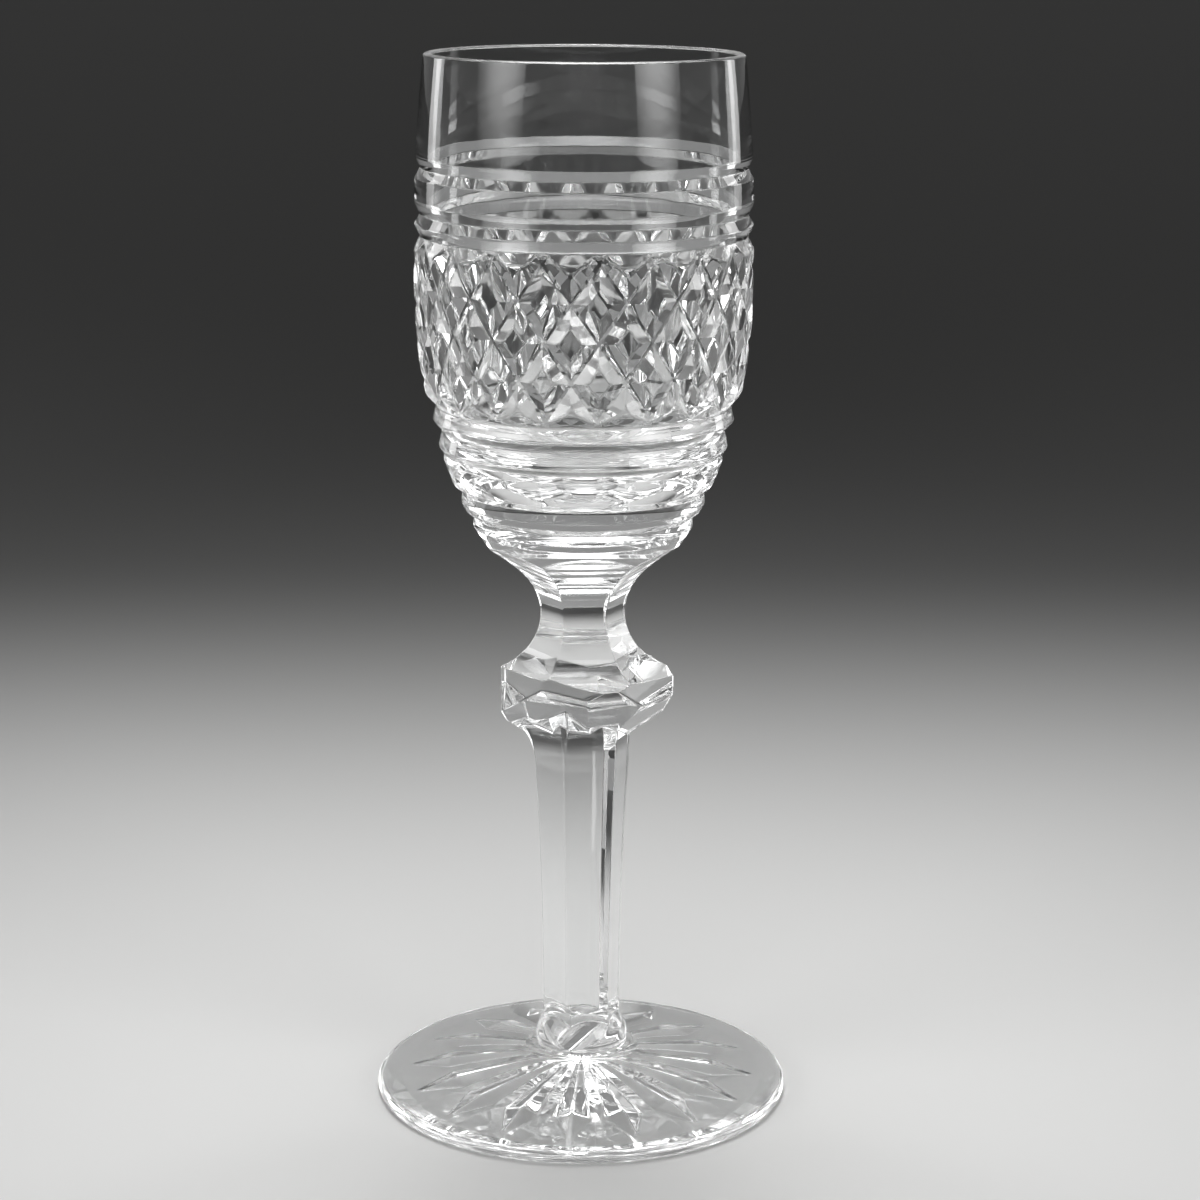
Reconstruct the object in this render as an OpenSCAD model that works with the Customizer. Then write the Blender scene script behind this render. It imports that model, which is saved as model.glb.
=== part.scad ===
// Sherry glass in clear cut glass: ring-cut bowl with a band of diamonds, fluted neck, cut knop,
// six-sided shank and a round foot with a star under it. Sizes are in millimetres.
// The glass stands at height 0 with its axis upright. Its front is towards -Y.

/* [Bowl] */
// Widest outside diameter of the bowl
bowl_d = 48.94; // [40:0.1:60]
// How far the rim draws in from the widest place, each side
rim_draw = 1.6; // [0.8:0.05:3]
// Outside diameter at the bottom of the lowest ring
bowl_base_d = 31.2; // [24:0.1:38]
// Height of the bowl from the lowest ring to the rim
bowl_h = 69.2; // [55:0.1:85]
// How far below the rim the bowl stops widening
belly_drop = 28; // [20:0.1:34]
// Height of the straight belly
belly_h = 6; // [3:0.1:9]
// Wall thickness at the widest place inside
belly_wall = 2.07; // [1.8:0.01:3]
// How far the inside draws in at the rim, each side
inside_draw = 0.81; // [0.4:0.01:1.2]
// How far below the rim the inside is widest
inside_drop = 17.6; // [12:0.1:22]
// Height of the inside's bottom above the lowest ring
bottom_t = 5.2; // [4:0.1:8]
// Radius of the rounded lip
lip_r = 0.95; // [0.8:0.01:1.4]

/* [Ring cuts] */
// Depth of the deepest ring cut
ring_depth = 1.2; // [0.8:0.01:1.4]
// Angle between the two sides of a ring cut
ring_angle = 125; // [110:1:140]

/* [Diamond cuts] */
// Number of diamonds round the bowl
diamonds = 19; // [16:1:22]
// Height of one diamond
diamond_h = 11.1; // [9:0.1:13]
// Depth of the diamond cuts
diamond_depth = 1.2; // [0.8:0.01:1.3]
// Angle between the two sides of a diamond cut
diamond_angle = 117; // [105:1:130]
// Turn of the diamonds about the axis
diamond_turn = 5.2; // [0:0.1:18]

/* [Neck] */
// Width of the neck across two opposite flutes
neck_w = 10.9; // [8:0.1:14]
// Radius of the wheel that cut the flutes of the stem
flute_r = 9; // [7:0.1:11]
// Slope of the flutes where the bowl is joined on
flute_slope = 44; // [38:1:48]
// Radius of the flutes' flare under the bowl
flare_r = 22; // [17:0.5:28]
// Turn of the flutes about the axis
flute_turn = 3.7; // [0:0.1:60]
// Diameter of the bowl's underside at the joint, before the flutes are cut
under_d = 22.6; // [19:0.1:26]
// Height of the bowl's underside
under_h = 6.15; // [5:0.05:7.5]

/* [Knop] */
// Diameter of the knop before it is cut
knop_d = 27.8; // [24:0.1:32]
// Height from the shank's top to the middle of the neck
knop_h = 18.4; // [16:0.1:21]
// Mean width across the upright cuts of the knop
belt_w = 23; // [20:0.1:26]
// Mean width across the slanting cuts at the height of the shank's top
knop_base_w = 12; // [11:0.1:13.5]
// Mean slope of the slanting cuts from the upright
knop_slope = 46; // [41:1:50]

/* [Shank] */
// Width across the flats at the shank's thin end
shank_w = 10.26; // [8.5:0.1:12]
// Gain in width across the flats up to the shank's top
shank_gain = 2.7; // [1.5:0.1:4]
// Height of the shank
shank_h = 44.5; // [36:0.1:55]
// Radius of the wheel that cut the shank's flare into the knop
shank_flare_r = 44; // [36:1:56]
// How far below the shank's top the flare starts
shank_flare_h = 4.4; // [3.6:0.1:5.2]
// Turn of the shank about the axis
shank_turn = 13; // [0:1:60]

/* [Collar] */
// Widest diameter of the collar
collar_d = 13.9; // [12.4:0.1:17]
// Height of the collar
collar_h = 4.3; // [3.6:0.1:5.2]
// Radius of the collar's round side
collar_round_r = 4.9; // [4.4:0.1:6]
// Height of the collar's widest place above the foot
collar_wide_h = 0.95; // [0.6:0.05:1.4]

/* [Foot] */
// Diameter of the foot
foot_d = 62.2; // [52:0.1:75]
// Height of the foot at the joint
foot_h = 7.2; // [6.2:0.1:8.6]
// Thickness of the foot's rounded edge
foot_edge_t = 2; // [1.6:0.1:2.6]
// Diameter of the boss under the collar
boss_d = 15.2; // [14.4:0.1:18]
// Height of the boss above the foot's cone
boss_h = 0.75; // [0.4:0.05:1.2]
// Width of the boss's slope
boss_slope_w = 0.9; // [0.4:0.05:1.6]
// Width of the ring that the glass rests on
rest_w = 3; // [2:0.1:4]
// Height of the hollow under the foot
hollow_h = 1.6; // [1:0.1:2.2]

/* [Star] */
// Number of rays of the star under the foot
star_rays = 16; // [12:1:20]
// Distance from the tips of the rays to the ring that the glass rests on
star_margin = 1.4; // [0.6:0.1:4]
// Length of a ray beyond its widest place
ray_tip = 6.2; // [4:0.1:9]
// Height of a ray's ridge above the hollow where it is widest
ray_depth = 1.5; // [0.8:0.05:1.7]
// Height of a ray's ridge above the hollow at the middle of the foot
ray_mid_depth = 0.2; // [0.1:0.05:0.6]
// Angle between the two sides of a ray
ray_angle = 120; // [105:1:130]
// Turn of the star about the axis
star_turn = -4; // [-12:0.5:12]

/* [Hidden] */
$fn = 144;
fine = 256;
// Heights of the ring cuts as shares of the bowl's height, from the lowest up
ring_height_shares = [0.032, 0.086, 0.171, 0.218, 0.27, 0.628, 0.674, 0.769];
// Depths of the same cuts as shares of the deepest
ring_depth_shares = [0.62, 0.66, 0.42, 0.96, 1, 0.78, 0.7, 0.62];
// The ring cuts that bound the diamonds
low_ring = 4;
high_ring = 5;
// Turns of the knop's upright and slanting cuts, as the cutter left them, and each cut's own width
// and slope as shares of the mean
belt_turns = [-54.5, -20.6, 50, 104, 172, 243];
belt_width_shares = [0.908, 0.968, 1.048, 1.074, 0.983, 0.903];
slant_turns = [-96.5, -27, 14.7, 52.3, 144.4, 205];
slant_width_shares = [1.51, 0.568, 0.695, 0.902, 0.982, 1.1];
slant_slope_shares = [1.16, 0.9, 0.963, 1.004, 1.08, 1.087];
// Wheels of the shank's flares as shares of the largest
flare_wheel_shares = [1, 1, 1, 0.4, 0.14, 1];
// Flutes, flats and turns
sides = 6;
full_turn = 360;
front = -90;
// How much shallower a diamond cut is at the bounding rings, as a share of its depth
fade_share = 0.3;
// Widest that a diamond cut may be, as a share of the distance to the next one
wide_share = 0.46;
// How near the cuts a diamond's side corners lie, as a share of its upper and lower corners' distance
side_share = 0.88;
// Rows of half diamonds above and below the middle, and points across one diamond
half_rows = 3;
steps = 3;
// How much larger the bottom's curve is than one that just meets the side
bottom_share = 1.02;
// How far the shank reaches into the knop, as a share of the knop's height
reach_share = 0.38;
// Radius that the flare is cut from, as a share of the shank's width
flare_blank_share = 0.88;
// How much narrower the flare starts than the shank, so that the two cross
flare_start_share = 0.997;
// How far the cone of the foot passes under the crown of its edge
crown_share = 0.98;

bowl_r = bowl_d / 2;
rim_r = bowl_r - rim_draw;
base_r = bowl_base_d / 2;
neck_r = neck_w / 2;
foot_r = foot_d / 2;
edge_r = foot_edge_t / 2;
edge_x = foot_r - edge_r;

// Heights above the table
collar_top = foot_h + collar_h;
shank_top = collar_top + shank_h;
neck_z = shank_top + knop_h;
joint_z = neck_z + flute_r * sin(flute_slope);
base_z = joint_z + under_h;
rim_z = base_z + bowl_h;
belly_top = rim_z - belly_drop;
belly_low = belly_top - belly_h;
inside_z = base_z + bottom_t;
inside_wide_z = rim_z - inside_drop;

// Radius of the arc that draws in by a given amount over a given height
function arc_r(height, draw) = (height * height + draw * draw) / (2 * draw);

upper_r = arc_r(belly_drop, rim_draw);
lower_r = arc_r(belly_low - base_z, bowl_r - base_r);
inside_r = bowl_r - belly_wall;
side_r = arc_r(inside_drop, inside_draw);
inside_rise = inside_wide_z - inside_z;
meet_reach = side_r * side_r - pow(side_r - inside_r, 2) - inside_rise * inside_rise;
meet_r = meet_reach / (2 * (side_r - inside_rise));
bottom_r = meet_r * bottom_share;
switch_z = inside_z + meet_r - meet_r * (inside_rise - meet_r) / (side_r - meet_r);

// Outside radius of the uncut bowl and its slope from the upright, by height
function drop_at(z) = z > belly_top ? z - belly_top : z < belly_low ? z - belly_low : 0;
function bend_at(z) = z > belly_top ? upper_r : lower_r;
function outer_r(z) = bowl_r - bend_at(z) + sqrt(pow(bend_at(z), 2) - pow(drop_at(z), 2));
function slope_at(z) = asin(drop_at(z) / bend_at(z));
function ring_z(i) = base_z + bowl_h * ring_height_shares[i];

// The band of diamonds
band_low = ring_z(low_ring);
band_high = ring_z(high_ring);
band_mid = (band_low + band_high) / 2;
band_half = (band_high - band_low) / 2;
band_r = outer_r(band_mid);
diamond_step = full_turn / diamonds;
diamond_w = 2 * PI * band_r / diamonds;
cut_slope = atan(diamond_h / diamond_w);
cut_half_share = min(diamond_depth * tan(diamond_angle / 2) / (diamond_w * sin(cut_slope)), wide_share);
columns = steps * diamonds;
rows = 2 * steps * half_rows;

// The flutes, as distances from the axis in the middle of a flute
flute_x = neck_r + flute_r;
joint_x = flute_x - flute_r * cos(flute_slope);
flare_x = joint_x + flare_r * cos(flute_slope);
flare_z = joint_z - flare_r * sin(flute_slope);

// The shank's hollow sides
shank_r = shank_w / 2;
shank_gain_r = shank_gain / 2;
shank_bend = arc_r(shank_h, shank_gain_r);
bend_z = shank_top - shank_flare_h;

// A triangle with its point at the origin, opening along +X
module vee(height, angle) {
    half = height * tan(angle / 2);
    polygon([[0, 0], [height, -half], [height, half]]);
}

// Uncut outside of the bowl and its underside, as a half section
module bowl_blank() {
    intersection() {
        translate([bowl_r - upper_r, belly_top]) circle(upper_r);
        translate([0, belly_top]) square([bowl_r, belly_drop]);
    }
    translate([0, belly_low]) square([bowl_r, belly_h]);
    intersection() {
        translate([bowl_r - lower_r, belly_low]) circle(lower_r);
        translate([0, base_z]) square([bowl_r, belly_low - base_z]);
    }
    polygon([[0, joint_z], [under_d / 2, joint_z], [base_r, base_z], [0, base_z]]);
}

// Inside of the bowl, as a half section: a curved side over a round bottom
module bowl_inside() {
    intersection() {
        translate([inside_r - side_r, inside_wide_z]) circle(side_r);
        union() {
            translate([0, switch_z]) square([bowl_r, rim_z - switch_z + lip_r]);
            intersection() {
                translate([0, inside_z + bottom_r]) circle(bottom_r);
                translate([0, inside_z - lip_r]) square([bowl_r, rim_z - inside_z]);
            }
        }
    }
}

// The corners beside the rounded lip
module lip_corners() {
    lip_mid = rim_r - (belly_wall + inside_draw - rim_draw) / 2;
    difference() {
        translate([lip_mid - lip_r, rim_z - lip_r]) square([2 * lip_r, 2 * lip_r]);
        translate([lip_mid, rim_z - lip_r]) circle(lip_r);
    }
}

// The ring cuts in section
module ring_cuts() {
    for (i = [0:len(ring_height_shares) - 1]) {
        z = ring_z(i);
        depth = ring_depth * ring_depth_shares[i];
        translate([outer_r(z), z]) rotate(slope_at(z))
            translate([-depth, 0]) vee(depth + ring_depth, ring_angle);
    }
}

// The bowl's section with the ring cuts in it
module bowl_section() {
    difference() {
        bowl_blank();
        ring_cuts();
        bowl_inside();
        lip_corners();
    }
}

// Everything above a height, in section
module above(z) {
    translate([0, z]) square([bowl_d, bowl_h + under_h]);
}

// The bowl above the diamonds
module bowl_top() {
    rotate_extrude() intersection() {
        bowl_section();
        above(band_high);
    }
}

// The bowl below the diamonds
module bowl_bottom() {
    rotate_extrude() difference() {
        bowl_section();
        above(band_low);
    }
}

// The ring that holds the diamonds, with spare thickness outside
module band_ring() {
    rotate_extrude() difference() {
        above(band_low);
        above(band_high);
        ring_cuts();
        bowl_inside();
    }
}

// Points of the cut surface lie on two sets of slanting lines, numbered a and b: every third line is
// the bottom of a cut and the others are the edges of the cuts, which draw together at the side corners.
function step_of(i) = i - steps * floor(i / steps);
function on_cut(i) = step_of(i) == 0;
function edge_share(i, j) = cut_half_share * (step_of(i) == step_of(j) ? side_share : 1);
function line_at(i, j) = floor(i / steps) + [0, edge_share(i, j), 1 - edge_share(i, j)][step_of(i)];
function skin_z(a, b) = band_mid + diamond_h * (line_at(b, a) - line_at(a, b)) / 2;
function skin_turn(a, b) = diamond_step * (line_at(a, b) + line_at(b, a)) / 2;
function cut_at(z) = diamond_depth * (1 - fade_share * pow((z - band_mid) / band_half, 2));
function skin_r(a, b) = outer_r(skin_z(a, b)) - (on_cut(a) || on_cut(b) ? cut_at(skin_z(a, b)) : 0);
function skin_point(a, b) = [
    skin_r(a, b) * cos(skin_turn(a, b)), skin_r(a, b) * sin(skin_turn(a, b)), skin_z(a, b)
];
function skin_index(a, row) = (a % columns) * (rows + 1) + row;
// Cells at the upper and lower corners of a diamond, where the crease runs upright
function upright(a, b) = on_cut(a) && on_cut(b + 1) || on_cut(a + 1) && on_cut(b);
function skin_cell(a, row) = let (
    west = skin_index(a, row),
    north = skin_index(a, row + 1),
    east = skin_index(a + 1, row),
    south = skin_index(a + 1, row - 1)
) upright(a, a + row)
    ? [[west, north, south], [north, east, south]]
    : [[west, north, east], [west, east, south]];

// The whole outside of the band as a solid with flat ends
module diamond_skin() {
    points = [for (a = [0:columns - 1]) for (row = [0:rows]) skin_point(a, a + row - rows / 2)];
    cells = [for (a = [0:columns - 1]) for (row = [1:rows - 1]) each skin_cell(a, row)];
    low_edge = [for (a = [0:columns - 1]) [skin_index(a, 0), skin_index(a, 1), skin_index(a + 1, 0)]];
    high_edge = [
        for (a = [0:columns - 1])
            [skin_index(a, rows), skin_index(a + 1, rows), skin_index(a + 1, rows - 1)]
    ];
    low_end = [[for (a = [0:columns - 1]) skin_index(a, 0)]];
    high_end = [[for (a = [columns - 1:-1:0]) skin_index(a, rows)]];
    rotate([0, 0, front + diamond_turn])
        polyhedron(points, concat(cells, low_edge, high_edge, low_end, high_end));
}

// A wheel cut, the side of a level cylinder that stands off the axis
module wheel_cut(turn, x, z, r, length) {
    rotate([0, 0, front + turn])
        translate([x, length / 2, z]) rotate([-front, 0, 0]) cylinder(h = length, r = r);
}

// Six wheel cuts round the axis
module wheel_cuts(turn, x, z, r, length) {
    for (i = [0:sides - 1]) {
        wheel_cut(turn + i * full_turn / sides, x, z, r, length);
    }
}

module bowl() {
    color([0.86, 0.9, 0.92]) {
        bowl_top();
        intersection() {
            band_ring();
            diamond_skin();
        }
        difference() {
            bowl_bottom();
            wheel_cuts(flute_turn, flare_x, flare_z, flare_r, bowl_d);
        }
    }
}

// A block that cuts a flat on the knop: its face stands off the axis at a given height
module flat_cut(turn, distance, height, slope) {
    rotate([0, 0, front + turn])
        translate([distance, -knop_d, height])
        rotate([0, slope, 0])
        translate([0, 0, -knop_d])
        cube([knop_d, 2 * knop_d, 2 * knop_d]);
}

module knop() {
    difference() {
        translate([0, 0, bend_z]) cylinder(h = joint_z - bend_z, d = knop_d);
        wheel_cuts(flute_turn, flute_x, neck_z, flute_r, 2 * knop_d);
        for (i = [0:len(belt_turns) - 1]) {
            flat_cut(belt_turns[i], belt_w / 2 * belt_width_shares[i], neck_z, 0);
        }
        for (i = [0:len(slant_turns) - 1]) {
            distance = knop_base_w / 2 * slant_width_shares[i];
            flat_cut(slant_turns[i], distance, shank_top, knop_slope * slant_slope_shares[i]);
        }
    }
}

// The shank: six flats, hollowed slightly along their length, and their flare into the knop
module shank() {
    flare_start = (shank_r + shank_bend - sqrt(pow(shank_bend, 2) - pow(bend_z - collar_top, 2)))
        * flare_start_share;
    difference() {
        translate([0, 0, foot_h]) cylinder(h = shank_top - foot_h, r = shank_w);
        wheel_cuts(shank_turn, shank_r + shank_bend, collar_top, shank_bend, 2 * shank_w, $fn = fine);
    }
    difference() {
        translate([0, 0, bend_z])
            cylinder(h = shank_flare_h + knop_h * reach_share, r = shank_w * flare_blank_share);
        for (i = [0:sides - 1]) {
            r = shank_flare_r * flare_wheel_shares[i];
            turn = shank_turn + i * full_turn / sides;
            wheel_cut(turn, flare_start + r, bend_z, r, 2 * shank_w, $fn = fine);
        }
    }
}

module collar() {
    rotate_extrude() intersection() {
        union() {
            translate([collar_d / 2 - collar_round_r, foot_h + collar_wide_h]) circle(collar_round_r);
            translate([0, foot_h]) square([collar_d / 2 - collar_round_r, collar_wide_h + collar_round_r]);
        }
        translate([0, foot_h]) square([collar_d, collar_wide_h + collar_round_r]);
    }
}

module stem() {
    color([0.84, 0.89, 0.91]) {
        knop();
        shank();
        collar();
    }
}

// Half section of the foot: boss, low cone, rounded edge, hollow underside
module foot_section() {
    cone_top = foot_h - boss_h;
    hollow_r = arc_r(edge_x - rest_w, hollow_h);
    difference() {
        union() {
            polygon([
                [0, 0], [edge_x, 0], [edge_x, foot_edge_t * crown_share],
                [boss_d / 2 + boss_slope_w, cone_top], [boss_d / 2, foot_h], [0, foot_h]
            ]);
            translate([edge_x, edge_r]) circle(edge_r);
        }
        translate([0, hollow_h - hollow_r]) circle(hollow_r);
    }
}

// Height of the hollow above the table, by distance from the axis
function hollow_at(x) = hollow_h * (1 - pow(x / (edge_x - rest_w), 2));

// A long roof along +X whose ridge slopes, meeting a given distance and height
module roof(x, height, slope) {
    translate([x, 0, height]) rotate([0, slope, 0])
        translate([-foot_d, 0, 0]) rotate([-front, 0, -front])
        linear_extrude(2 * foot_d) rotate(front) vee(foot_h, ray_angle);
}

// One ray: the part under two roofs that slope opposite ways
module ray() {
    tip_x = edge_x - rest_w - star_margin;
    wide_x = tip_x - ray_tip;
    top = hollow_at(wide_x) + ray_depth;
    slope_out = atan((top - hollow_at(tip_x)) / (tip_x - wide_x));
    slope_in = atan((top - hollow_h - ray_mid_depth) / wide_x);
    intersection() {
        roof(wide_x, top, -slope_in);
        roof(wide_x, top, slope_out);
        translate([0, -foot_r, -foot_h]) cube([foot_r, foot_d, 2 * foot_h]);
    }
}

module foot() {
    color([0.85, 0.9, 0.92]) difference() {
        rotate_extrude() foot_section();
        for (i = [0:star_rays - 1]) {
            rotate([0, 0, front + star_turn + i * full_turn / star_rays]) ray();
        }
    }
}

bowl();
stem();
foot();
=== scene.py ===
import math

import bpy
import numpy as np
from mathutils import Matrix, Vector


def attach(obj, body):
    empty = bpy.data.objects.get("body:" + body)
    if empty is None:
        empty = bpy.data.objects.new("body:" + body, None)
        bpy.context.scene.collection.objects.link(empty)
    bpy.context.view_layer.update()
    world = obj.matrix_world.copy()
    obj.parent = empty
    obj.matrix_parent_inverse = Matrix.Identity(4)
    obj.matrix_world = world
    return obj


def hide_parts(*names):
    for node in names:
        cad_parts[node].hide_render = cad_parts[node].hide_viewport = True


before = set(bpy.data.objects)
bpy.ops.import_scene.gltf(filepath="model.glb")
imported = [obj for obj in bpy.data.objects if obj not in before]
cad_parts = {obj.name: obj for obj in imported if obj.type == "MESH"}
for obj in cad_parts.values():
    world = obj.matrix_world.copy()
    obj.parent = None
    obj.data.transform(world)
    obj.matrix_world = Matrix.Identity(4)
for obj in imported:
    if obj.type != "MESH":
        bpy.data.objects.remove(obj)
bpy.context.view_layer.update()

# The glass is in millimetres, the studio in metres, and angles are in degrees unless a name says otherwise.
MM = 0.001
FULL_TURN = 360.0
HALF_TURN = 180.0
FRONT = -90.0
SIDES = 6

# Bowl
BOWL_R = 24.47
RIM_DRAW = 1.6
BASE_R = 15.6
BOWL_H = 69.2
BELLY_DROP = 28.0
BELLY_H = 6.0
BELLY_WALL = 2.07
INSIDE_DRAW = 0.81
INSIDE_DROP = 17.6
BOTTOM_T = 5.2
LIP_R = 0.95

# Ring cuts, from the lowest up
RING_DEPTH = 1.2
RING_ANGLE = 125.0
RING_HEIGHT_SHARES = (0.032, 0.086, 0.171, 0.218, 0.27, 0.628, 0.674, 0.769)
RING_DEPTH_SHARES = (0.62, 0.66, 0.42, 0.96, 1.0, 0.78, 0.7, 0.62)
LOW_RING = 4
HIGH_RING = 5

# Diamonds
DIAMONDS = 19
DIAMOND_H = 11.1
DIAMOND_DEPTH = 1.2
DIAMOND_ANGLE = 117.0
DIAMOND_TURN = 5.2
FADE_SHARE = 0.3

# Neck flutes
NECK_R = 5.45
FLUTE_R = 9.0
FLUTE_SLOPE = 44.0
FLARE_R = 22.0
FLUTE_TURN = 3.7
UNDER_R = 11.3
UNDER_H = 6.15

# Knop: upright belt facets above, slanting facets below
KNOP_R = 13.9
KNOP_H = 18.4
BELT_R = 11.5
KNOP_BASE_R = 6.0
KNOP_SLOPE = 46.0
BELT_TURNS = (-54.5, -20.6, 50, 104, 172, 243)
BELT_SHARES = (0.908, 0.968, 1.048, 1.074, 0.983, 0.903)
SLANT_TURNS = (-96.5, -27, 14.7, 52.3, 144.4, 205)
SLANT_SHARES = (1.51, 0.568, 0.695, 0.902, 0.982, 1.1)
SLOPE_SHARES = (1.16, 0.9, 0.963, 1.004, 1.08, 1.087)

# Shank and collar
SHANK_R = 5.13
SHANK_GAIN = 1.35
SHANK_H = 44.5
SHANK_FLARE_R = 44.0
SHANK_FLARE_H = 4.4
SHANK_TURN = 13.0
FLARE_WHEEL_SHARES = (1, 1, 1, 0.4, 0.14, 1)
FLARE_BLANK_R = 9.03
SHANK_REACH = 7.0
COLLAR_R = 6.95
COLLAR_H = 4.3
COLLAR_ROUND_R = 4.9
COLLAR_WIDE_H = 0.95

# Foot and star
FOOT_R = 31.1
FOOT_H = 7.2
EDGE_T = 2.0
EDGE_START = 80.0
EDGE_END = -90.0
CROWN_SHARE = 0.98
BOSS_R = 7.6
BOSS_H = 0.75
BOSS_SLOPE_W = 0.9
REST_W = 3.0
HOLLOW_H = 1.6
STAR_RAYS = 16
STAR_R = 25.7
RAY_WIDE_R = 19.5
RAY_DEPTH = 1.5
RAY_MID_DEPTH = 0.2
RAY_ANGLE = 120.0
STAR_TURN = -4.0

# Polished edges: how far the wheel's edges are rounded
EDGE_SOFT = 0.12
STAR_SOFT = 0.06
FILLET = 0.25
PROFILE_SOFT = 0.07

# Mesh of the diamonds: steps along one diamond, and half the flat bottom of its cuts in those steps
LATTICE = 30
GROOVE_STEPS = 1

# Fineness of the other meshes
STEM_COLUMNS = 400
FOOT_COLUMNS = 384
ARC_POINTS = 60
INSIDE_POINTS = 6000
SECTION_STEP = 0.02
SECTION_SLACK = 0.002
INSIDE_SLACK = 0.006
ROW_GAP = 0.05
STAR_STEP = 0.3
STAR_HUB_R = 0.2
INSIDE_HUB_R = 0.05
LIP_STOP_SHARE = 0.25
BELL_REACHES = 3

# Rows of points where the bowl's flutes end: their step, and how far they go on above the base
FLARE_STEP = 0.15
FLARE_OVER = 0.6

# Rows of points up the stem: how far from the collar, bend and neck their step changes, and the steps
COLLAR_OVER = 1.1
BEND_UNDER = 0.6
BEND_OVER = 1.8
BELT_EDGE_DROP = 9.4
BELT_TOP_DROP = 6.8
COLLAR_STEP = 0.16
SHANK_STEP = 1.2
FLARE_LOW_STEP = 0.25
KNOP_STEP = 0.15
BELT_STEP = 0.05
NECK_STEP = 0.35

# Limits that keep the sums sound
LEAST_FACING = 0.05
FAR_R = 1000.0
LEAST_LENGTH = 1e-9

# Heights above the table
COLLAR_TOP = FOOT_H + COLLAR_H
SHANK_TOP = COLLAR_TOP + SHANK_H
BEND_Z = SHANK_TOP - SHANK_FLARE_H
NECK_Z = SHANK_TOP + KNOP_H
JOINT_Z = NECK_Z + FLUTE_R * math.sin(math.radians(FLUTE_SLOPE))
BASE_Z = JOINT_Z + UNDER_H
RIM_Z = BASE_Z + BOWL_H
BELLY_TOP = RIM_Z - BELLY_DROP
BELLY_LOW = BELLY_TOP - BELLY_H
INSIDE_Z = BASE_Z + BOTTOM_T
INSIDE_WIDE_Z = RIM_Z - INSIDE_DROP
SHANK_START_Z = COLLAR_TOP + COLLAR_OVER
SHANK_END_Z = BEND_Z - BEND_UNDER
FLARE_MID_Z = BEND_Z + BEND_OVER
BELT_EDGE_Z = NECK_Z - BELT_EDGE_DROP
BELT_TOP_Z = NECK_Z - BELT_TOP_DROP


# Sums that several pieces use
def arc_radius(height, draw):
    """Radius of the arc that draws in by a given amount over a given height."""
    return (height * height + draw * draw) / (2 * draw)


def tan(angle):
    return math.tan(math.radians(angle))


def cos(angle):
    return np.cos(np.radians(angle))


def soft_min(a, b, width):
    """The smaller of two fields, rounded where they cross."""
    near = np.maximum(width - np.abs(a - b), 0) / width
    return np.minimum(a, b) - near * near * width / 4


def soft_max(a, b, width):
    """The larger of two fields, rounded where they cross."""
    return -soft_min(-a, -b, width)


def blur(values, reach):
    """A bell-shaped average along a row of samples."""
    ends = BELL_REACHES * reach
    span = np.arange(-ends, ends + 1)
    weight = np.exp(-0.5 * (span / reach) ** 2)
    weight /= weight.sum()
    padded = np.pad(values, ends, mode="reflect", reflect_type="odd")
    return np.convolve(padded, weight, mode="valid")


def thin_out(points, slack):
    """Keeps the points of a curve that a straight line would miss by more than the slack."""
    keep = np.zeros(len(points), bool)
    keep[[0, -1]] = True
    spans = [(0, len(points) - 1)]
    while spans:
        first, last = spans.pop()
        if last - first < 2:
            continue
        along = points[last] - points[first]
        off = points[first + 1 : last] - points[first]
        miss = np.abs(along[0] * off[:, 1] - along[1] * off[:, 0]) / max(np.hypot(*along), LEAST_LENGTH)
        worst = int(np.argmax(miss))
        if miss[worst] > slack:
            middle = first + 1 + worst
            keep[middle] = True
            spans += [(first, middle), (middle, last)]
    return points[keep]


def soften(points):
    """A half section drawn with straight lines, its corners rounded, in as few points as look smooth."""
    points = np.asarray(points, float)
    length = np.concatenate([[0], np.cumsum(np.hypot(*np.diff(points, axis=0).T))])
    at = np.linspace(0, length[-1], int(length[-1] / SECTION_STEP))
    dense = np.column_stack([np.interp(at, length, points[:, k]) for k in (0, 1)])
    reach = int(PROFILE_SOFT / SECTION_STEP)
    dense = np.column_stack([blur(dense[:, k], reach) for k in (0, 1)])
    return thin_out(dense, SECTION_SLACK)


def flats(turns, distances, angle):
    """Radius at which a ray leaves the flats that stand at the given turns and distances."""
    best = None
    for turn, distance in zip(turns, distances):
        facing = cos(angle - FRONT - turn)
        reach = np.where(facing > LEAST_FACING, distance / np.maximum(facing, LEAST_FACING), FAR_R)
        best = reach if best is None else soft_min(best, reach, EDGE_SOFT)
    return best


def six(turn):
    """The turns of six sides, the first at the given turn."""
    return [turn + k * FULL_TURN / SIDES for k in range(SIDES)]


def wheel(z, x, height, r, outside):
    """Distance from the axis to a wheel cut whose wheel stands at x and the given height."""
    inside = r * r - (z - height) ** 2
    return np.where(inside > 0, x - np.sqrt(np.maximum(inside, 0)), outside)


def angles(columns, start):
    return start + np.arange(columns) * FULL_TURN / columns


def ring(angle, radius, z):
    """One row of points round the axis."""
    radius = np.broadcast_to(radius, angle.shape)
    z = np.broadcast_to(z, angle.shape)
    turn = np.radians(angle)
    return np.column_stack([radius * np.cos(turn), radius * np.sin(turn), z])


# Outside of the bowl
UPPER_BEND = arc_radius(BELLY_DROP, RIM_DRAW)
LOWER_BEND = arc_radius(BELLY_LOW - BASE_Z, BOWL_R - BASE_R)


def bend_and_drop(z):
    """Radius of the wall's bend at a height, and the height's distance from where that bend starts."""
    drop = np.where(z > BELLY_TOP, z - BELLY_TOP, np.where(z < BELLY_LOW, z - BELLY_LOW, 0))
    return np.where(z > BELLY_TOP, UPPER_BEND, LOWER_BEND), drop


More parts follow.
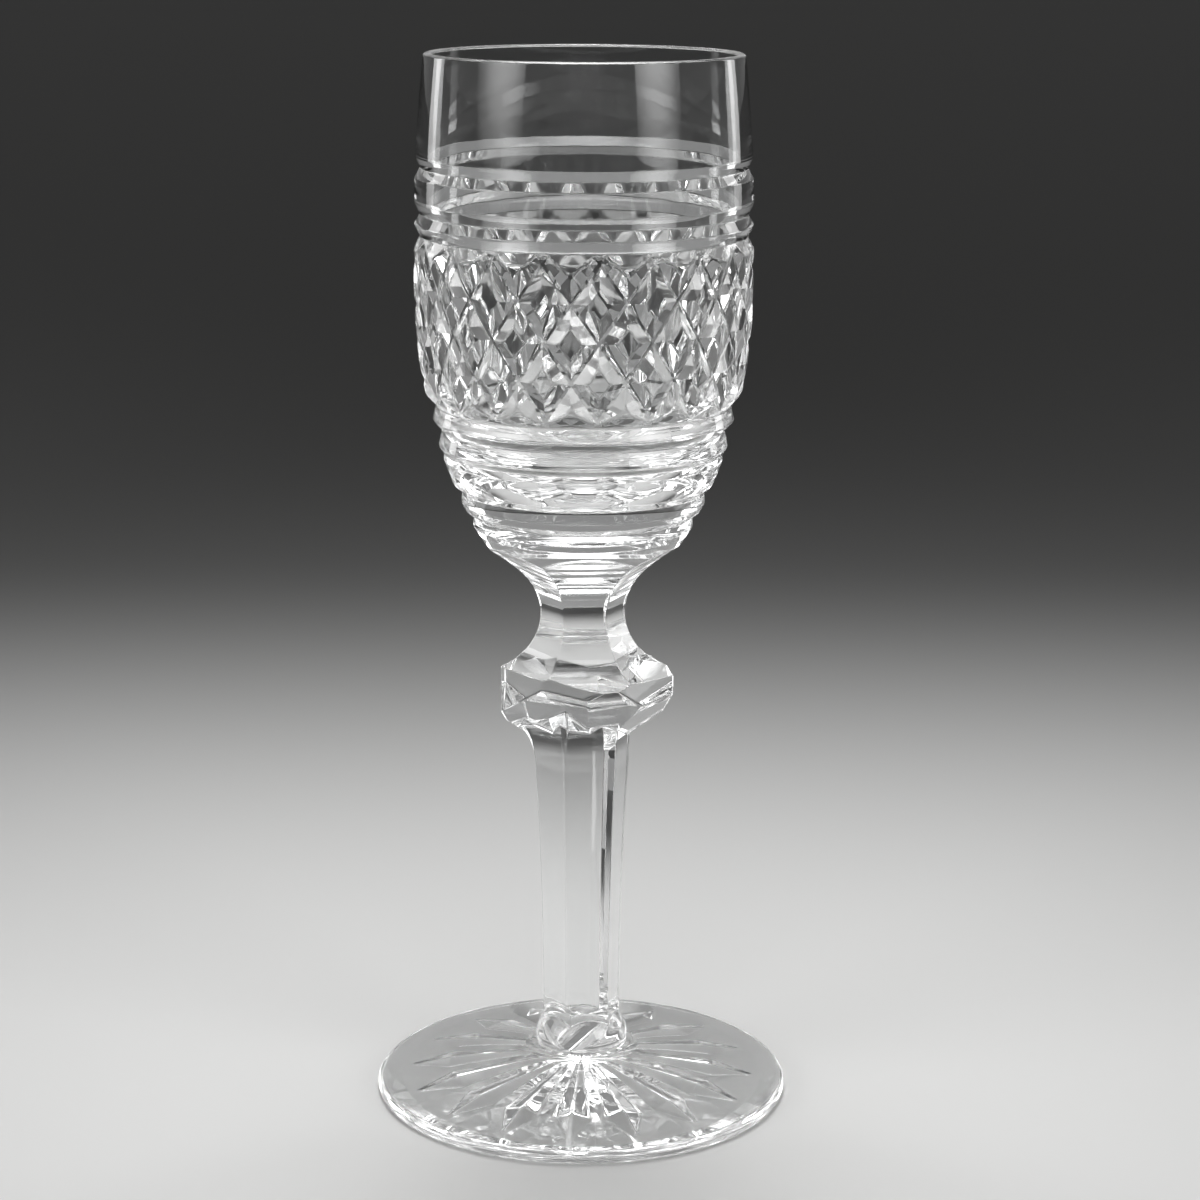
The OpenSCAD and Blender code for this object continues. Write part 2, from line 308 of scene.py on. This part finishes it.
def bowl_radius(z):
    """Outside radius of the bowl before it is cut."""
    bend, drop = bend_and_drop(z)
    return BOWL_R - bend + np.sqrt(bend * bend - drop * drop)


def ring_height(k):
    return BASE_Z + BOWL_H * RING_HEIGHT_SHARES[k]


def with_rings(z, radius):
    """The bowl's outside radius with the ring cuts in it."""
    for k, share in enumerate(RING_DEPTH_SHARES):
        height = ring_height(k)
        bend, drop = bend_and_drop(np.float64(height))
        slope = math.degrees(math.asin(drop / bend))
        bottom_r = bowl_radius(np.float64(height)) - RING_DEPTH * share * cos(slope)
        bottom_z = height - RING_DEPTH * share * math.sin(math.radians(slope))
        over = (z - bottom_z) / tan(slope + RING_ANGLE / 2)
        under = (z - bottom_z) / tan(slope - RING_ANGLE / 2)
        radius = np.minimum(radius, bottom_r + np.where(z > bottom_z, over, under))
    return radius


# Diamonds, on a mesh whose columns and levels follow the crossing cuts
BAND_LOW = ring_height(LOW_RING)
BAND_HIGH = ring_height(HIGH_RING)
BAND_MID = (BAND_LOW + BAND_HIGH) / 2
BAND_HALF = (BAND_HIGH - BAND_LOW) / 2
DIAMOND_W = 2 * math.pi * float(bowl_radius(np.float64(BAND_MID))) / DIAMONDS
CUT_SLOPE = math.atan(DIAMOND_H / DIAMOND_W)
CUT_STEPS = round(LATTICE * DIAMOND_DEPTH * tan(DIAMOND_ANGLE / 2) / (DIAMOND_W * math.sin(CUT_SLOPE)))


def to_cut(step):
    """Steps of the diamonds' mesh to the nearer of the two parallel cuts beside a point."""
    step = step % LATTICE
    return np.minimum(step, LATTICE - step)


def diamond_cut(angle, z):
    """Depth of the crossing cuts: two sets of slanting lines, each a groove with flat sides."""
    column = (angle - FRONT - DIAMOND_TURN) * DIAMONDS * LATTICE / FULL_TURN
    level = (z - BAND_MID) * LATTICE / DIAMOND_H
    away = np.maximum(np.minimum(to_cut(column - level), to_cut(column + level)), GROOVE_STEPS)
    depth = DIAMOND_DEPTH * (1 - FADE_SHARE * ((z - BAND_MID) / BAND_HALF) ** 2)
    return depth * np.maximum(1 - away / CUT_STEPS, 0)


def diamond_edges(column, level):
    """Which mesh edges, given by the columns and levels of their two ends, are edges of the cut faces."""
    a, b = (column - level) % LATTICE, (column + level) % LATTICE
    along_a, along_b = a[:, 0] == a[:, 1], b[:, 0] == b[:, 1]
    beside_a, beside_b = to_cut(a), to_cut(b)
    edges = np.zeros(len(a), bool)
    for steps in (GROOVE_STEPS, CUT_STEPS):
        edges |= along_a & ((beside_a == steps) & (beside_b >= steps)).all(axis=1)
        edges |= along_b & ((beside_b == steps) & (beside_a >= steps)).all(axis=1)
    nearer = np.minimum(beside_a, beside_b)
    sloping = ((nearer >= GROOVE_STEPS) & (nearer <= CUT_STEPS)).all(axis=1)
    level_corner, upright_corner = (a == b).all(axis=1), ((a + b) % LATTICE == 0).all(axis=1)
    return edges | sloping & (level_corner | upright_corner)


# Meshes
def row_faces(low, high, columns, level):
    """Faces between two rows of points; where a level is given, they are split along the diamonds' cuts."""
    here = np.arange(columns)
    beside = (here + 1) % columns
    if level is None:
        return [(low + a, low + b, high + b, high + a) for a, b in zip(here, beside)]
    faces = []
    rises = to_cut(here - level) <= to_cut(here + level + 1)
    for a, b, rising in zip(here, beside, rises):
        if rising:
            faces += [(low + a, low + b, high + b), (low + a, high + b, high + a)]
        else:
            faces += [(low + a, low + b, high + a), (low + b, high + b, high + a)]
    return faces


def sharp_edges(mesh, columns, joint_starts, levels, cut):
    """Which edges are sharp: those round a fused joint and those of the diamonds."""
    ends = np.empty(2 * len(mesh.edges), np.int32)
    mesh.edges.foreach_get("vertices", ends)
    ends = ends.reshape(-1, 2)
    sharp = np.zeros(len(ends), bool)
    for start in joint_starts:
        sharp |= ((ends >= start) & (ends < start + columns)).all(axis=1)
    if levels:
        level = np.zeros(len(mesh.vertices) // columns + 1, np.int32)
        for row, height in levels.items():
            level[row] = height
        sharp |= diamond_edges(ends % columns, level[ends // columns]) & cut[ends].all(axis=1)
    return sharp


def lathe(name, rows, joint_at_start, joint_at_end, levels=None, cut=None):
    """A closed mesh from rows of points, with a middle point at both ends.

    Rows that carry the diamonds have a level, and cut says which points lie in the diamonds.
    """
    levels = levels or {}
    columns = len(rows[0])
    top = columns * (len(rows) - 1)
    first_middle = columns * len(rows)
    last_middle = first_middle + 1
    middles = [(0, 0, row[:, 2].mean()) for row in (rows[0], rows[-1])]
    points = np.concatenate([*rows, middles])
    here = np.arange(columns)
    beside = (here + 1) % columns
    faces = [(first_middle, b, a) for a, b in zip(here, beside)]
    for row in range(len(rows) - 1):
        level = levels[row] if row in levels and row + 1 in levels else None
        faces += row_faces(row * columns, (row + 1) * columns, columns, level)
    faces += [(top + a, top + b, last_middle) for a, b in zip(here, beside)]
    joint = np.zeros(len(faces), np.int32)
    joint[:columns] = joint_at_start
    joint[-columns:] = joint_at_end
    mesh = bpy.data.meshes.new(name)
    mesh.from_pydata((points * MM).tolist(), [], faces)
    mesh.polygons.foreach_set("use_smooth", np.ones(len(faces), bool))
    mesh.polygons.foreach_set("material_index", joint)
    joint_starts = [start for start, fused_here in ((0, joint_at_start), (top, joint_at_end)) if fused_here]
    sharp = mesh.attributes.new("sharp_edge", "BOOLEAN", "EDGE")
    sharp.data.foreach_set("value", sharp_edges(mesh, columns, joint_starts, levels, cut))
    mesh.update()
    piece = bpy.data.objects.new(name, mesh)
    bpy.context.scene.collection.objects.link(piece)
    return piece


# Bowl
FLUTE_X = NECK_R + FLUTE_R
JOINT_X = FLUTE_X - FLUTE_R * math.cos(math.radians(FLUTE_SLOPE))
FLARE_X = JOINT_X + FLARE_R * math.cos(math.radians(FLUTE_SLOPE))
FLARE_Z = JOINT_Z - FLARE_R * math.sin(math.radians(FLUTE_SLOPE))
RIM_WALL = BELLY_WALL + INSIDE_DRAW - RIM_DRAW
LIP_Z = RIM_Z - LIP_R
LIP_MID_R = BOWL_R - RIM_DRAW - RIM_WALL / 2


def bowl_skin(angle, z, profile):
    """Outside radius of the finished bowl, from its turned profile."""
    radius = profile
    if z < FLARE_Z + FLARE_R:
        reach = wheel(np.float64(z), FLARE_X, FLARE_Z, FLARE_R, BOWL_R)
        radius = soft_min(radius, flats(six(FLUTE_TURN), [reach] * SIDES, angle), EDGE_SOFT)
    if BAND_LOW < z < BAND_HIGH:
        radius = np.minimum(radius, bowl_radius(np.float64(z)) - diamond_cut(angle, z))
    return radius


def bowl_outside():
    """Heights and radii of the turned outside, from the joint to the lip, with the rings cut."""
    z = np.arange(JOINT_Z, RIM_Z - LIP_R * LIP_STOP_SHARE, SECTION_STEP)
    cone = UNDER_R + (z - JOINT_Z) / UNDER_H * (BASE_R - UNDER_R)
    outside = np.where(z < BASE_Z, cone, bowl_radius(np.maximum(z, BASE_Z)))
    outside = with_rings(z, outside)
    lip = LIP_MID_R + np.sqrt(np.maximum(LIP_R ** 2 - np.maximum(z - LIP_Z, 0) ** 2, 0))
    outside = np.minimum(outside, np.where(z > LIP_Z, lip, BOWL_R))
    return z, blur(outside, int(PROFILE_SOFT / SECTION_STEP))


def bowl_inside(start_z):
    """Points of the lip above a height, and on down the inside to the middle of the bottom."""
    half_open = math.degrees(math.acos(min(RIM_WALL / 2 / LIP_R, 1)))
    turn = np.radians(np.linspace(half_open, HALF_TURN - half_open, ARC_POINTS))
    lip = np.column_stack([LIP_MID_R + LIP_R * np.cos(turn), LIP_Z + LIP_R * np.sin(turn)])
    side_bend = arc_radius(INSIDE_DROP, INSIDE_DRAW)
    inside_r = BOWL_R - BELLY_WALL
    rise = INSIDE_WIDE_Z - INSIDE_Z
    meet_r = (side_bend ** 2 - (side_bend - inside_r) ** 2 - rise ** 2) / (2 * (side_bend - rise))
    switch_z = INSIDE_Z + meet_r - meet_r * (rise - meet_r) / (side_bend - meet_r)
    down = np.linspace(lip[-1, 1], INSIDE_Z, INSIDE_POINTS)[1:]
    side = inside_r - side_bend + np.sqrt(side_bend ** 2 - (down - INSIDE_WIDE_Z) ** 2)
    bottom = np.sqrt(np.maximum(meet_r ** 2 - (down - INSIDE_Z - meet_r) ** 2, 0))
    within = np.column_stack([np.where(down > switch_z, side, bottom), down])
    return thin_out(np.concatenate([lip[lip[:, 1] > start_z], within]), INSIDE_SLACK)


def bowl_rows():
    """Rows of points of the bowl, the levels of the rows in the band, and which points the cuts reach."""
    columns = DIAMONDS * LATTICE
    angle = angles(columns, FRONT + DIAMOND_TURN)
    z, outside = bowl_outside()
    profile = np.column_stack([outside, z])
    most = int(BAND_HALF * LATTICE / DIAMOND_H)
    lattice = np.arange(-most, most + 1)
    lattice_z = BAND_MID + DIAMOND_H / LATTICE * lattice
    below = thin_out(profile[z < lattice_z[0] - ROW_GAP], SECTION_SLACK)[:, 1]
    above = thin_out(profile[z > lattice_z[-1] + ROW_GAP], SECTION_SLACK)[:, 1]
    flare = np.arange(JOINT_Z, BASE_Z + FLARE_OVER, FLARE_STEP)
    below = np.unique(np.concatenate([flare, below[below > flare[-1] + ROW_GAP]]))
    heights = np.concatenate([below, lattice_z, above])
    radii = np.interp(heights, z, outside)
    rows = [ring(angle, bowl_skin(angle, height, r), height) for height, r in zip(heights, radii)]
    levels = {len(below) + k: int(level) for k, level in enumerate(lattice)}
    for r, height in bowl_inside(heights[-1])[:-1]:
        rows.append(ring(angle, max(r, INSIDE_HUB_R), height))
    cut = np.zeros(columns * len(rows) + 2, bool)
    for row in levels:
        reached = bowl_radius(heights[row]) - diamond_cut(angle, heights[row]) <= radii[row]
        cut[columns * row : columns * (row + 1)] = reached
    return rows, levels, cut


# Stem
def knop_skin(angle, z):
    """Outside radius of the knop and the lower neck flutes."""
    belts = [BELT_R * share for share in BELT_SHARES]
    slants = [
        KNOP_BASE_R * width + (z - SHANK_TOP) * tan(KNOP_SLOPE * slope)
        for width, slope in zip(SLANT_SHARES, SLOPE_SHARES)
    ]
    knop = soft_min(np.full_like(angle, KNOP_R), flats(BELT_TURNS, belts, angle), EDGE_SOFT)
    knop = soft_min(knop, flats(SLANT_TURNS, slants, angle), EDGE_SOFT)
    if abs(z - NECK_Z) < FLUTE_R:
        reach = wheel(z, FLUTE_X, NECK_Z, FLUTE_R, FLUTE_X)
        knop = soft_min(knop, flats(six(FLUTE_TURN), [reach] * SIDES, angle), EDGE_SOFT)
    return knop


def stem_skin(angle, z):
    """Outside radius of the stem: knop, shank and collar."""
    z = np.float64(z)
    knop = knop_skin(angle, z)
    if z > SHANK_TOP + SHANK_REACH:
        return knop
    bend = arc_radius(SHANK_H, SHANK_GAIN)
    low_z = min(z, BEND_Z)
    start = SHANK_R + bend - math.sqrt(bend * bend - (low_z - COLLAR_TOP) ** 2)
    radius = flats(six(SHANK_TURN), [start] * SIDES, angle)
    if z > BEND_Z:
        wheels = [SHANK_FLARE_R * share for share in FLARE_WHEEL_SHARES]
        distances = [wheel(z, start + r, BEND_Z, r, FLARE_BLANK_R) for r in wheels]
        flare = soft_min(flats(six(SHANK_TURN), distances, angle), FLARE_BLANK_R, EDGE_SOFT)
        radius = soft_max(flare, knop, FILLET)
    wide_z = FOOT_H + COLLAR_WIDE_H
    if z < wide_z + COLLAR_ROUND_R:
        collar = COLLAR_R - COLLAR_ROUND_R + math.sqrt(COLLAR_ROUND_R ** 2 - (z - wide_z) ** 2)
        radius = soft_max(radius, np.full_like(angle, collar), FILLET)
    return radius


def stem_rows():
    """Rows of points of the stem, closest where the facets meet at a low angle."""
    angle = angles(STEM_COLUMNS, FRONT)
    spans = (
        (FOOT_H, SHANK_START_Z, COLLAR_STEP),
        (SHANK_START_Z, SHANK_END_Z, SHANK_STEP),
        (SHANK_END_Z, FLARE_MID_Z, FLARE_LOW_STEP),
        (FLARE_MID_Z, BELT_EDGE_Z, KNOP_STEP),
        (BELT_EDGE_Z, BELT_TOP_Z, BELT_STEP),
        (BELT_TOP_Z, JOINT_Z, NECK_STEP),
    )
    heights = np.concatenate([np.arange(low, high - step / 2, step) for low, high, step in spans])
    heights = np.append(heights, JOINT_Z)
    return [ring(angle, stem_skin(angle, height), height) for height in heights]


# Foot
EDGE_R = EDGE_T / 2
EDGE_X = FOOT_R - EDGE_R
HOLLOW_R = EDGE_X - REST_W


def hollow_height(r):
    """Height of the hollow underside at a distance from the axis."""
    bend = arc_radius(HOLLOW_R, HOLLOW_H)
    return HOLLOW_H - bend + math.sqrt(bend * bend - r * r)


def star_height(angle, r):
    """Height of the foot's underside: the hollow with the rays of the star above it."""
    hollow = hollow_height(r)
    top = hollow_height(RAY_WIDE_R) + RAY_DEPTH
    out_slope = (top - hollow_height(STAR_R)) / (STAR_R - RAY_WIDE_R)
    in_slope = (top - HOLLOW_H - RAY_MID_DEPTH) / RAY_WIDE_R
    step = FULL_TURN / STAR_RAYS
    off = angle - FRONT - STAR_TURN
    off = np.radians(off - step * np.round(off / step))
    along, across = r * np.cos(off), np.abs(r * np.sin(off))
    ridge = np.minimum(top - (RAY_WIDE_R - along) * in_slope, top - (along - RAY_WIDE_R) * out_slope)
    return soft_max(ridge - across / tan(RAY_ANGLE / 2), np.full_like(angle, hollow), STAR_SOFT)


def foot_rows():
    """Rows of points of the foot, from the middle of the star to the joint."""
    angle = angles(FOOT_COLUMNS, FRONT + STAR_TURN)
    joint_r = COLLAR_R - COLLAR_ROUND_R + math.sqrt(COLLAR_ROUND_R ** 2 - COLLAR_WIDE_H ** 2)
    turn = np.radians(np.linspace(EDGE_START, EDGE_END, ARC_POINTS))
    edge = np.column_stack([EDGE_X + EDGE_R * np.cos(turn), EDGE_R + EDGE_R * np.sin(turn)])
    section = np.concatenate([
        [(joint_r, FOOT_H), (BOSS_R, FOOT_H), (BOSS_R + BOSS_SLOPE_W, FOOT_H - BOSS_H)],
        [(EDGE_X, EDGE_T * CROWN_SHARE)],
        edge,
        [(HOLLOW_R, 0)],
    ])
    rows = [ring(angle, r, height) for r, height in soften(section)]
    for r in np.arange(HOLLOW_R - STAR_STEP, STAR_HUB_R, -STAR_STEP):
        rows.append(ring(angle, r, star_height(angle, r)))
    return rows[::-1]


# Materials
GLASS_COLOUR = (0.985, 0.99, 0.99, 1)
GLASS_IOR = 1.55
CLOUD_SCALE = 160
CLOUD_DETAIL = 2
CLOUD_LOW_SHARE = 0.3
CLOUD_HIGH_SHARE = 0.7
MOST_ROUGHNESS = 0.03
WAVE_STRENGTH = 0.04
WAVE_HEIGHT_M = 0.0004
FLOOR_COLOUR = (0.6, 0.6, 0.595, 1)
FLOOR_ROUGHNESS = 0.9
FLOOR_SPECULAR = 0.1


def glass(name):
    """Clear polished cut glass: faintly uneven from the polishing."""
    material = bpy.data.materials.new(name)
    material.use_nodes = True
    nodes, links = material.node_tree.nodes, material.node_tree.links
    shader = nodes["Principled BSDF"]
    shader.inputs["Base Color"].default_value = GLASS_COLOUR
    shader.inputs["Transmission Weight"].default_value = 1
    shader.inputs["IOR"].default_value = GLASS_IOR
    place = nodes.new("ShaderNodeTexCoord")
    cloud = nodes.new("ShaderNodeTexNoise")
    cloud.inputs["Scale"].default_value = CLOUD_SCALE
    cloud.inputs["Detail"].default_value = CLOUD_DETAIL
    links.new(place.outputs["Object"], cloud.inputs["Vector"])
    spread = nodes.new("ShaderNodeMapRange")
    spread.inputs["From Min"].default_value = CLOUD_LOW_SHARE
    spread.inputs["From Max"].default_value = CLOUD_HIGH_SHARE
    spread.inputs["To Min"].default_value = 0
    spread.inputs["To Max"].default_value = MOST_ROUGHNESS
    links.new(cloud.outputs["Fac"], spread.inputs["Value"])
    links.new(spread.outputs["Result"], shader.inputs["Roughness"])
    wave = nodes.new("ShaderNodeBump")
    wave.inputs["Strength"].default_value = WAVE_STRENGTH
    wave.inputs["Distance"].default_value = WAVE_HEIGHT_M
    links.new(cloud.outputs["Fac"], wave.inputs["Height"])
    links.new(wave.outputs["Normal"], shader.inputs["Normal"])
    return material


def fused(name):
    """The face inside a fused joint, where light passes straight on."""
    material = bpy.data.materials.new(name)
    material.use_nodes = True
    nodes, links = material.node_tree.nodes, material.node_tree.links
    nodes.remove(nodes["Principled BSDF"])
    clear = nodes.new("ShaderNodeBsdfTransparent")
    links.new(clear.outputs["BSDF"], nodes["Material Output"].inputs["Surface"])
    return material


def floor_paint(name):
    """Plain pale matt paint."""
    material = bpy.data.materials.new(name)
    material.use_nodes = True
    shader = material.node_tree.nodes["Principled BSDF"]
    shader.inputs["Base Color"].default_value = FLOOR_COLOUR
    shader.inputs["Roughness"].default_value = FLOOR_ROUGHNESS
    shader.inputs["Specular IOR Level"].default_value = FLOOR_SPECULAR
    return material


# Pieces
clear_glass = glass("cut_glass")
joint_glass = fused("fused_joint")


def place_piece(piece, node):
    """Gives a piece its glass, and puts it in the place of a piece of the frame."""
    piece.data.materials.append(clear_glass)
    piece.data.materials.append(joint_glass)
    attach(piece, "root")
    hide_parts(node)


rows, levels, cut = bowl_rows()
place_piece(lathe("bowl_cut", rows, True, False, levels, cut), "bowl")
place_piece(lathe("stem_cut", stem_rows(), True, True), "stem")
place_piece(lathe("foot_cut", foot_rows(), False, True), "foot")

# Floor and lamps
FLOOR_HALF = 6.0
AIM = Vector((0, 0, 0.08))
LAMP_SPREAD = 50
scene = bpy.context.scene


def floor(half):
    mesh = bpy.data.meshes.new("floor")
    corners = [(-half, -half, 0), (half, -half, 0), (half, half, 0), (-half, half, 0)]
    mesh.from_pydata(corners, [], [(0, 1, 2, 3)])
    mesh.materials.append(floor_paint("floor_paint"))
    sheet = bpy.data.objects.new("floor", mesh)
    scene.collection.objects.link(sheet)


def softbox(name, azimuth, elevation, distance, width, height, power):
    """An area lamp that looks at the middle of the glass; azimuth 0 is towards the camera."""
    lamp = bpy.data.lights.new(name, "AREA")
    lamp.shape = "RECTANGLE"
    lamp.size, lamp.size_y = width, height
    lamp.energy = power
    lamp.spread = math.radians(LAMP_SPREAD)
    stand = bpy.data.objects.new(name, lamp)
    scene.collection.objects.link(stand)
    turn, lift = math.radians(azimuth), math.radians(elevation)
    away = Vector((math.sin(turn) * math.cos(lift), -math.cos(turn) * math.cos(lift), math.sin(lift)))
    stand.location = AIM + away * distance
    stand.rotation_euler = (-away).to_track_quat("-Z", "Y").to_euler()


floor(FLOOR_HALF)
softbox("left_box", azimuth=-60, elevation=20, distance=0.6, width=0.4, height=0.4, power=0.2)
softbox("right_box", azimuth=52, elevation=20, distance=0.6, width=0.35, height=0.4, power=0.18)
softbox("back_box", azimuth=180, elevation=68, distance=0.47, width=0.48, height=0.38, power=0.44)
softbox("front_box", azimuth=0, elevation=75, distance=0.5, width=0.4, height=0.3, power=0.1)
softbox("left_edge", azimuth=-125, elevation=12, distance=0.6, width=0.12, height=0.4, power=0.05)
softbox("right_edge", azimuth=125, elevation=12, distance=0.6, width=0.12, height=0.4, power=0.05)

# Surroundings: a faint fill, and paler walls that only the camera, the gloss and the glass see
WORLD_FILL = 0.04
WORLD_SEEN = 0.25


def studio(name):
    world = bpy.data.worlds.new(name)
    world.use_nodes = True
    nodes, links = world.node_tree.nodes, world.node_tree.links
    fill = nodes["Background"]
    walls = nodes.new("ShaderNodeBackground")
    for light, strength in ((fill, WORLD_FILL), (walls, WORLD_SEEN)):
        light.inputs["Color"].default_value = (1, 1, 1, 1)
        light.inputs["Strength"].default_value = strength
    path = nodes.new("ShaderNodeLightPath")
    seen = path.outputs["Is Camera Ray"]
    for ray in ("Is Glossy Ray", "Is Transmission Ray"):
        either = nodes.new("ShaderNodeMath")
        either.operation = "MAXIMUM"
        links.new(seen, either.inputs[0])
        links.new(path.outputs[ray], either.inputs[1])
        seen = either.outputs["Value"]
    choice = nodes.new("ShaderNodeMixShader")
    links.new(seen, choice.inputs[0])
    links.new(fill.outputs["Background"], choice.inputs[1])
    links.new(walls.outputs["Background"], choice.inputs[2])
    links.new(choice.outputs["Shader"], nodes["World Output"].inputs["Surface"])
    return world


# Light passes through many cut faces before it leaves the glass
LIGHT_BOUNCES = 32
GLOSSY_BOUNCES = 16
scene.world = studio("studio")
scene.view_settings.view_transform = "Standard"
scene.cycles.max_bounces = LIGHT_BOUNCES
scene.cycles.transmission_bounces = LIGHT_BOUNCES
scene.cycles.glossy_bounces = GLOSSY_BOUNCES
scene.cycles.transparent_max_bounces = LIGHT_BOUNCES

# Camera, fitted to the ellipses of the rim and the foot
EYE = (0, -0.4313, 0.180643)
PITCH_RAD = 0.2375
YAW_RAD = 0.0059
ROLL_RAD = 0.0045
LENS_MM = 90.03
SENSOR_MM = 36
NEAREST = 0.01


def aim_camera(name):
    ahead_level = Vector((math.sin(YAW_RAD), math.cos(YAW_RAD), 0))
    right = Vector((math.cos(YAW_RAD), -math.sin(YAW_RAD), 0))
    ahead = ahead_level * math.cos(PITCH_RAD) - Vector((0, 0, math.sin(PITCH_RAD)))
    up = ahead_level * math.sin(PITCH_RAD) + Vector((0, 0, math.cos(PITCH_RAD)))
    tilted_right = right * math.cos(ROLL_RAD) + up * math.sin(ROLL_RAD)
    tilted_up = up * math.cos(ROLL_RAD) - right * math.sin(ROLL_RAD)
    camera = bpy.data.cameras.new(name)
    camera.lens = LENS_MM
    camera.sensor_width = SENSOR_MM
    camera.clip_start = NEAREST
    stand = bpy.data.objects.new(name, camera)
    axes = Matrix((tilted_right, tilted_up, -ahead)).transposed().to_4x4()
    stand.matrix_world = Matrix.Translation(EYE) @ axes
    scene.collection.objects.link(stand)
    return stand


scene.camera = aim_camera("camera")
